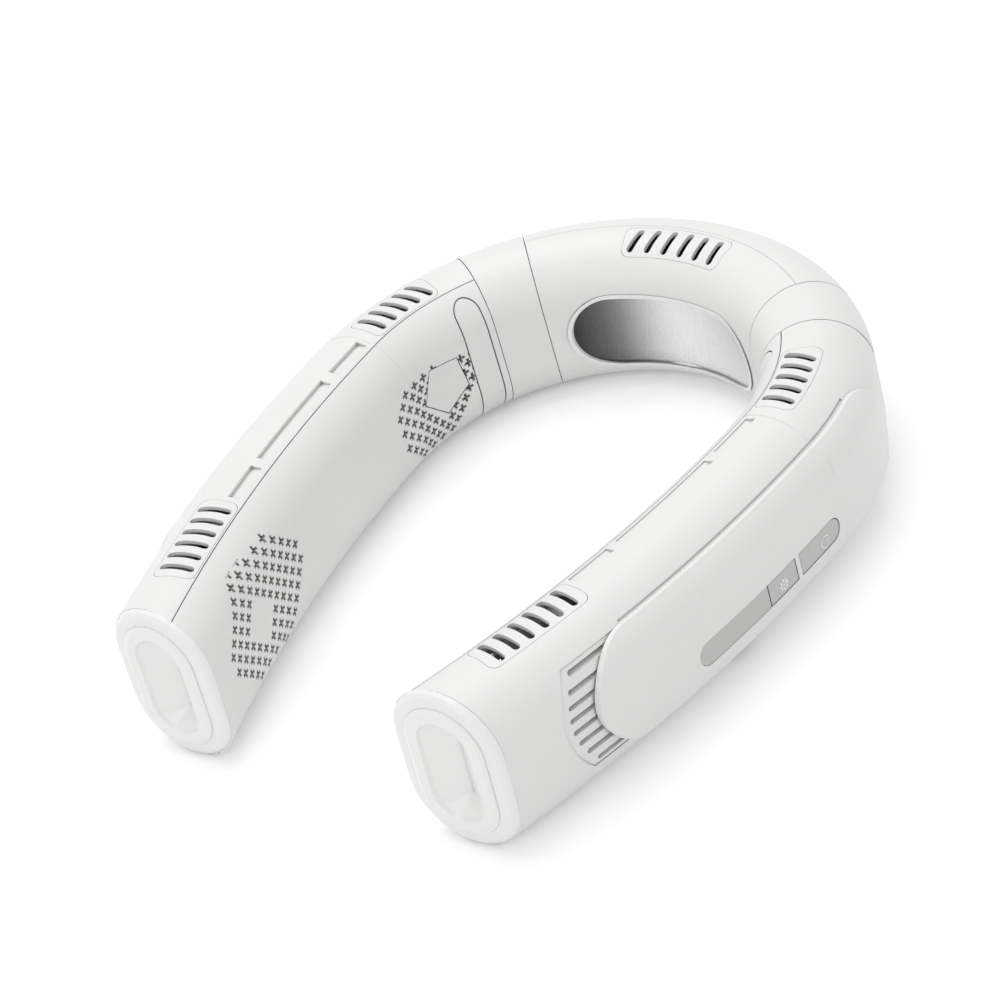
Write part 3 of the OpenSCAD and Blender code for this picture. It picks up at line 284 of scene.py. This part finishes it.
# The painted reflection, read along the plate's width.
painted_reflection_ramp = add(tree, "ShaderNodeValToRGB", {"Fac": share.outputs["Result"]})
painted_reflection_ramp.color_ramp.interpolation = "CARDINAL"
for position, _ in PAINTED_REFLECTION_ALONG[1:-1]:
    painted_reflection_ramp.color_ramp.elements.new(position)
for stop, (position, colour) in zip(painted_reflection_ramp.color_ramp.elements, PAINTED_REFLECTION_ALONG):
    stop.position, stop.color = position, linear(colour)
along = add(tree, "ShaderNodeMapping", {"Vector": place, "Scale": (1, 1, 1 / MARK_STRETCH)})
marks = noise(tree, along.outputs["Vector"], MARK_SIZE, 3.0)
tone = blend(tree, MARK_SHARE, painted_reflection_ramp.outputs["Color"], marks.outputs["Color"], blend_type="OVERLAY")
show(tree, add(tree, "ShaderNodeBsdfPrincipled", {
    "Base Color": tone, "Roughness": varied(tree, marks.outputs["Fac"], *PLATE_ROUGHNESS),
    "Metallic": 1.0, "Anisotropic": SIDEWAYS_BLUR}))
print("plate runs from", round(plate_low[0] / MM, 1), "to", round(plate_high[0] / MM, 1), "mm")

# %% [markdown]
# What is inside shows through the slots and when the model is taken apart: an alumina ceramic
# cooler, two cells in a shrink sleeve, and a green circuit board. The ink is for the keys' signs.

# %% Inner finishes and ink
alumina = moulded_plastic("fired_alumina", "#E9E5DC", "#E1DCD2", 0.55, 0.3, 0.05)
sleeve = moulded_plastic("pvc_shrink_sleeve", "#3C6EA6", "#35639A", 0.3, 2.0, 0.05, coat=0.2)
board_mask = moulded_plastic("solder_mask", "#1E5B3C", "#1A5236", 0.3, 1.2, 0.03, coat=0.3)
white_ink = moulded_plastic("white_pad_printing_ink", "#FAFAFA", "#F6F6F6", 0.5, 0.6, 0.01)
print("inner finishes:", [m.name for m in (alumina, sleeve, board_mask, white_ink)])

# %% [markdown]
# Each node names its material slot in the record, and each slot has one finish. Only the two side
# covers differ: they share the slot of the polished end caps, but are satin.

# %% A finish for every node
FINISH_OF_SLOT = {
    "shell_white": matt_abs, "trim_white": polished_abs, "light_grey": key_abs, "key_grey": key_abs,
    "cold_plate": plate_metal, "heat_sink": sink_metal, "ceramic": alumina, "steel": steel,
    "winding": copper, "fan_black": black_pbt, "cell": sleeve, "board": board_mask,
}


def dress(mesh, finish):
    """Give a mesh one finish."""
    mesh.materials.clear()
    mesh.materials.append(finish)


for part in frame["record"]["subparts"]:
    dress(nodes[part["node"]].data, FINISH_OF_SLOT[part["material_slot"]])
for name in ("left_cover_plate", "right_cover_plate"):
    dress(nodes[name].data, cover_abs)

# %% [markdown]
# Moulded edges are never sharp: the tool maker leaves 0.2 to 0.5 mm of radius, and it is this thin
# rounded line that catches the light. The two end caps show it most. Their meshes are welded first,
# and the bevel takes only edges that turn by more than 35 degrees.

# %% Rounded edges
FACET_WELD = 0.002  # mm
EDGE_WIDTH = 0.3  # mm
EDGE_STEPS = 2
EDGE_TURN = 35  # degrees


def weld(piece, reach):
    """Join the points of a piece that lie within a reach in mm."""
    piece.modifiers.new("weld", "WELD").merge_threshold = reach * MM


def soften(name):
    """Round a node's sharp edges, and shade its facets smooth."""
    weld(nodes[name], FACET_WELD)
    bevel = nodes[name].modifiers.new("edge", "BEVEL")
    bevel.width = EDGE_WIDTH * MM
    bevel.segments = EDGE_STEPS
    bevel.limit_method = "ANGLE"
    bevel.angle_limit = math.radians(EDGE_TURN)
    bevel.harden_normals = True
    bevel.use_clamp_overlap = True


soften("right_end_cap")
soften("left_end_cap")
print("edges rounded by", EDGE_WIDTH, "mm on both end caps")

# %% [markdown]
# The long skins are swept, so their meshes mix wide facets with very thin ones, and plain smooth
# shading turns the thin ones into streaks. Here steps under 0.06 mm are closed, the mesh is split at
# its real edges, which fold by more than 28 degrees, and wide facets count for more than thin ones.

# %% Even shading of the long skins
SKIN_WELD = 0.06  # mm
SKIN_FOLD = 28  # degrees


def shade_by_area(piece, keep_sharp=False):
    """Let the wide facets of a piece set its shading, so that thin ones leave no mark."""
    even = piece.modifiers.new("even", "WEIGHTED_NORMAL")
    even.mode = "FACE_AREA"
    even.keep_sharp = keep_sharp


for name in ("left_cover_plate", "left_outer_shell", "right_outer_shell"):
    weld(nodes[name], SKIN_WELD)
    split = nodes[name].modifiers.new("edges", "EDGE_SPLIT")
    split.split_angle = math.radians(SKIN_FOLD)
    split.use_edge_sharp = False
    shade_by_area(nodes[name])
print("skins shaded by area: 3")

# %% [markdown]
# The fan follows one middle line: a bend round the nape, then an arm of much larger radius. A place
# on the arm is easiest to give as a length along that line from the nape, a distance outward and a
# height. These two functions turn such a place into a point of the model, and a point into its length.

# %% Where a point of the arm lies
BACK_RADIUS = 73.5  # mm, of the bend
BACK_TURN = math.radians(92.5)
BACK_END = BACK_RADIUS * BACK_TURN  # mm from the nape
ARM_RADIUS = 450.0  # mm
BEND_Y = 21.64775  # mm, where the bend's centre lies
ARM_CENTRE = Vector(((BACK_RADIUS - ARM_RADIUS) * math.sin(BACK_TURN),
                     (BACK_RADIUS - ARM_RADIUS) * math.cos(BACK_TURN) + BEND_Y, 0))


def on_arm(along, out, high):
    """A point of the right arm: its length from the nape, its distance outward, its height, in mm."""
    turn = BACK_TURN + (along - BACK_END) / ARM_RADIUS
    radius = ARM_RADIUS + out
    return (ARM_CENTRE + Vector((radius * math.sin(turn), radius * math.cos(turn), high))) * MM


def along_arm(point):
    """How far along the right arm a point lies, in mm from the nape."""
    turn = math.atan2(point.x / MM - ARM_CENTRE.x, point.y / MM - ARM_CENTRE.y)
    return BACK_END + (turn - BACK_TURN) * ARM_RADIUS


print("the bend ends", round(BACK_END, 2), "mm from the nape")

# %% [markdown]
# The right cover plate's solid is cut by two sweeps that meet where the back's bend ends. It keeps a
# stray wall there with no thickness, right across the plate: 3.3 mm proud of its upper edge, 1.1 mm
# of its lower, and up to 7.4 mm behind it. No moulding has that. A copy of the plate without the wall
# stands for it: the same plate, with its two halves joined point to point.

# %% Right cover plate without the stray wall
WALL_REACH = 0.02  # mm from the plane where the sweeps meet
JOINT_GAP = 0.12  # mm, the widest gap between a point and its partner


def joint_points(mesh):
    """The points of a mesh that lie in the plane where the two sweeps meet."""
    return [point for point in mesh.verts if abs(along_arm(point.co) - BACK_END) < WALL_REACH]


cover_mesh = bpy.data.meshes.new("right_cover_skin")
work = bmesh.new()
work.from_mesh(nodes["right_cover_plate"].data)
bmesh.ops.remove_doubles(work, verts=work.verts, dist=FACET_WELD * MM)
met = set(joint_points(work))
stray = [face for face in work.faces if met.issuperset(face.verts)]
bmesh.ops.delete(work, geom=stray, context="FACES")
bmesh.ops.remove_doubles(work, verts=joint_points(work), dist=JOINT_GAP * MM)
bmesh.ops.holes_fill(work, edges=[edge for edge in work.edges if len(edge.link_faces) == 1])
open_edges = [edge for edge in work.edges if len(edge.link_faces) != 2]
work.to_mesh(cover_mesh)
work.free()
for layer in ("custom_normal", "sharp_edge", "sharp_face"):
    if layer in cover_mesh.attributes:
        cover_mesh.attributes.remove(cover_mesh.attributes[layer])
cover_mesh.set_sharp_from_angle(angle=math.radians(SKIN_FOLD))
dress(cover_mesh, cover_abs)
cover_skin = new_object("right_cover_skin", cover_mesh)
shade_by_area(cover_skin, keep_sharp=True)
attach(cover_skin, "right_arm")
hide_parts("right_cover_plate")
print("stray facets left out:", len(stray), "open edges:", len(open_edges))

# %% [markdown]
# The two keys carry the only signs: a wheel of eight petals for the fan's speed, and the ring with a
# stroke that means power. On the real fan they are pad-printed in white ink, so each is a film only
# 0.03 mm thick. A film is built flat, as an outline in millimetres, and then laid on the key: the
# key's face is part of a cylinder, so each point's place along the arm becomes an angle.

# %% Outlines of the signs
PETALS = 8
PETAL_SWELL, PETAL_LEAN = 1.15, 0.35  # how full a petal is, and how much more so at its foot
HUB_RADIUS = 0.42  # mm
HUB_SIDES = 12


def polar(radius, angle):
    """A flat point at a distance and an angle from the middle of a sign."""
    return radius * math.cos(angle), radius * math.sin(angle)


def petal(angle, near, far, wide, steps=14):
    """The outline of one petal that points along an angle."""
    middle, half = (near + far) / 2, (far - near) / 2
    turned = []
    for i in range(steps):
        a = math.tau * i / steps
        x = middle + half * math.cos(a)
        y = wide / 2 * math.sin(a) * (PETAL_SWELL - PETAL_LEAN * math.cos(a))
        turned.append((x * math.cos(angle) - y * math.sin(angle),
                       x * math.sin(angle) + y * math.cos(angle)))
    return turned


def ring_sector(inner, outer, start, stop, steps=40):
    """Quads of a flat ring from one angle to another."""
    rows = []
    for i in range(steps):
        a, b = (start + (stop - start) * k / steps for k in (i, i + 1))
        rows.append([polar(inner, a), polar(outer, a), polar(outer, b), polar(inner, b)])
    return rows


hub = [polar(HUB_RADIUS, math.tau * k / HUB_SIDES) for k in range(HUB_SIDES)]
wheel = [petal(math.tau * k / PETALS, near=0.75, far=2.0, wide=0.62) for k in range(PETALS)] + [hub]
ring = ring_sector(inner=1.55, outer=1.9, start=math.radians(28), stop=math.radians(332))
stroke = [(0.5, -0.17), (2.1, -0.17), (2.1, 0.17), (0.5, 0.17)]
power = ring + [stroke]
print("outlines:", len(wheel), "for the fan sign,", len(power), "for the power sign")

# %% Printed signs
KEY_FACE = 18.68  # mm outward from the middle line
FILM = 0.03  # mm
SAME_POINT = 0.0001  # mm


def printed(name, outlines, along, high, body):
    """Ink film on a key: flat outlines in mm, laid on its face round one place."""
    mesh = bpy.data.meshes.new(name)
    work = bmesh.new()
    for outline in outlines:
        low, top = [[work.verts.new(on_arm(along - x, KEY_FACE + lift, high + y)) for x, y in outline]
                    for lift in (0.0, FILM)]
        work.faces.new(top)
        work.faces.new(low[::-1])
        for i in range(len(outline)):
            j = (i + 1) % len(outline)
            work.faces.new((low[i], low[j], top[j], top[i]))
    bmesh.ops.remove_doubles(work, verts=work.verts, dist=SAME_POINT * MM)
    bmesh.ops.recalc_face_normals(work, faces=work.faces)
    work.to_mesh(mesh)
    work.free()
    mesh.materials.append(white_ink)
    piece = new_object(name, mesh)
    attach(piece, body)


printed("fan_sign", wheel, along=146.9, high=18.7, body="fan_key")
printed("power_sign", power, along=128.0, high=18.6, body="power_key")
print("printed signs: 2")

# %% [markdown]
# The fan lies on a pale sheet that runs off past the picture on every side. Camera, gloss and glass
# rays see it a little lighter than the lamps alone would make it, which turns it white but keeps
# the fan's shadow.

# %% Floor
FLOOR_REACH = 4.0  # metres each way
FLOOR_DROP = 0.2  # mm under the fan
FLOOR_LIFT = 0.25  # the glow that only the eye sees

corners = [(x * FLOOR_REACH, y * FLOOR_REACH, 0) for x, y in ((-1, -1), (1, -1), (1, 1), (-1, 1))]
floor_mesh = bpy.data.meshes.new("floor")
floor_mesh.from_pydata(corners, [], [(0, 1, 2, 3)])
floor = new_object("floor", floor_mesh)
floor.location.z = cad_box[0][2] - FLOOR_DROP * MM


def seen_by_eye(tree):
    """1 for the rays that show a background: camera, gloss and transmission rays."""
    rays = add(tree, "ShaderNodeLightPath").outputs
    found = rays["Is Camera Ray"]
    for kind in ("Is Glossy Ray", "Is Transmission Ray"):
        found = add(tree, "ShaderNodeMath", {0: found, 1: rays[kind]}, operation="MAXIMUM").outputs[0]
    return found


paper, tree = new_finish("white_card")
sheet = add(tree, "ShaderNodeBsdfDiffuse", {"Color": linear("#F4F4F4")})
lift = add(tree, "ShaderNodeEmission", {"Color": linear("#FFFFFF"), "Strength": FLOOR_LIFT})
none = add(tree, "ShaderNodeEmission", {"Strength": 0.0})
extra = add(tree, "ShaderNodeMixShader", {0: seen_by_eye(tree), 1: none.outputs[0], 2: lift.outputs[0]})
show(tree, add(tree, "ShaderNodeAddShader", {0: sheet.outputs[0], 1: extra.outputs[0]}))
floor_mesh.materials.append(paper)
print("floor at", round(floor.location.z / MM, 2), "mm")

# %% [markdown]
# The room fills in from all sides, and is plain white where the eye sees it. One large soft lamp
# stands above the fan and a weaker one in front, as in a light tent. Places are in metres.

# %% Room and lamps
ROOM_FILL = 0.62  # the light that reaches the fan
ROOM_SEEN = 1.0  # plain white

room = bpy.data.worlds.new("studio")
bpy.context.scene.world = room
room.use_nodes = True
tree = room.node_tree
tree.nodes.clear()
fill = add(tree, "ShaderNodeBackground", {"Color": linear("#FFFFFF"), "Strength": ROOM_FILL})
white = add(tree, "ShaderNodeBackground", {"Color": linear("#FFFFFF"), "Strength": ROOM_SEEN})
seen = add(tree, "ShaderNodeMixShader", {0: seen_by_eye(tree), 1: fill.outputs[0], 2: white.outputs[0]})
add(tree, "ShaderNodeOutputWorld", {"Surface": seen.outputs[0]})


def soft_box(name, place, aim, size, power):
    """A square soft lamp at a place, turned to a point."""
    data = bpy.data.lights.new(name, "AREA")
    data.shape = "SQUARE"
    data.size = size
    data.energy = power
    lamp = new_object(name, data)
    lamp.location = place
    lamp.rotation_euler = (Vector(aim) - Vector(place)).to_track_quat("-Z", "Y").to_euler()


soft_box("top_box", place=(-0.25, 0.2, 1.3), aim=(0, 0, 0), size=1.2, power=7.5)
soft_box("front_box", place=(0.2, -1.2, 0.8), aim=(0, 0, 0.02), size=0.9, power=2.6)
bpy.context.scene.view_settings.view_transform = "Standard"
print("lamps:", [lamp.name for lamp in bpy.data.lights])

bpy.context.view_layer.update()
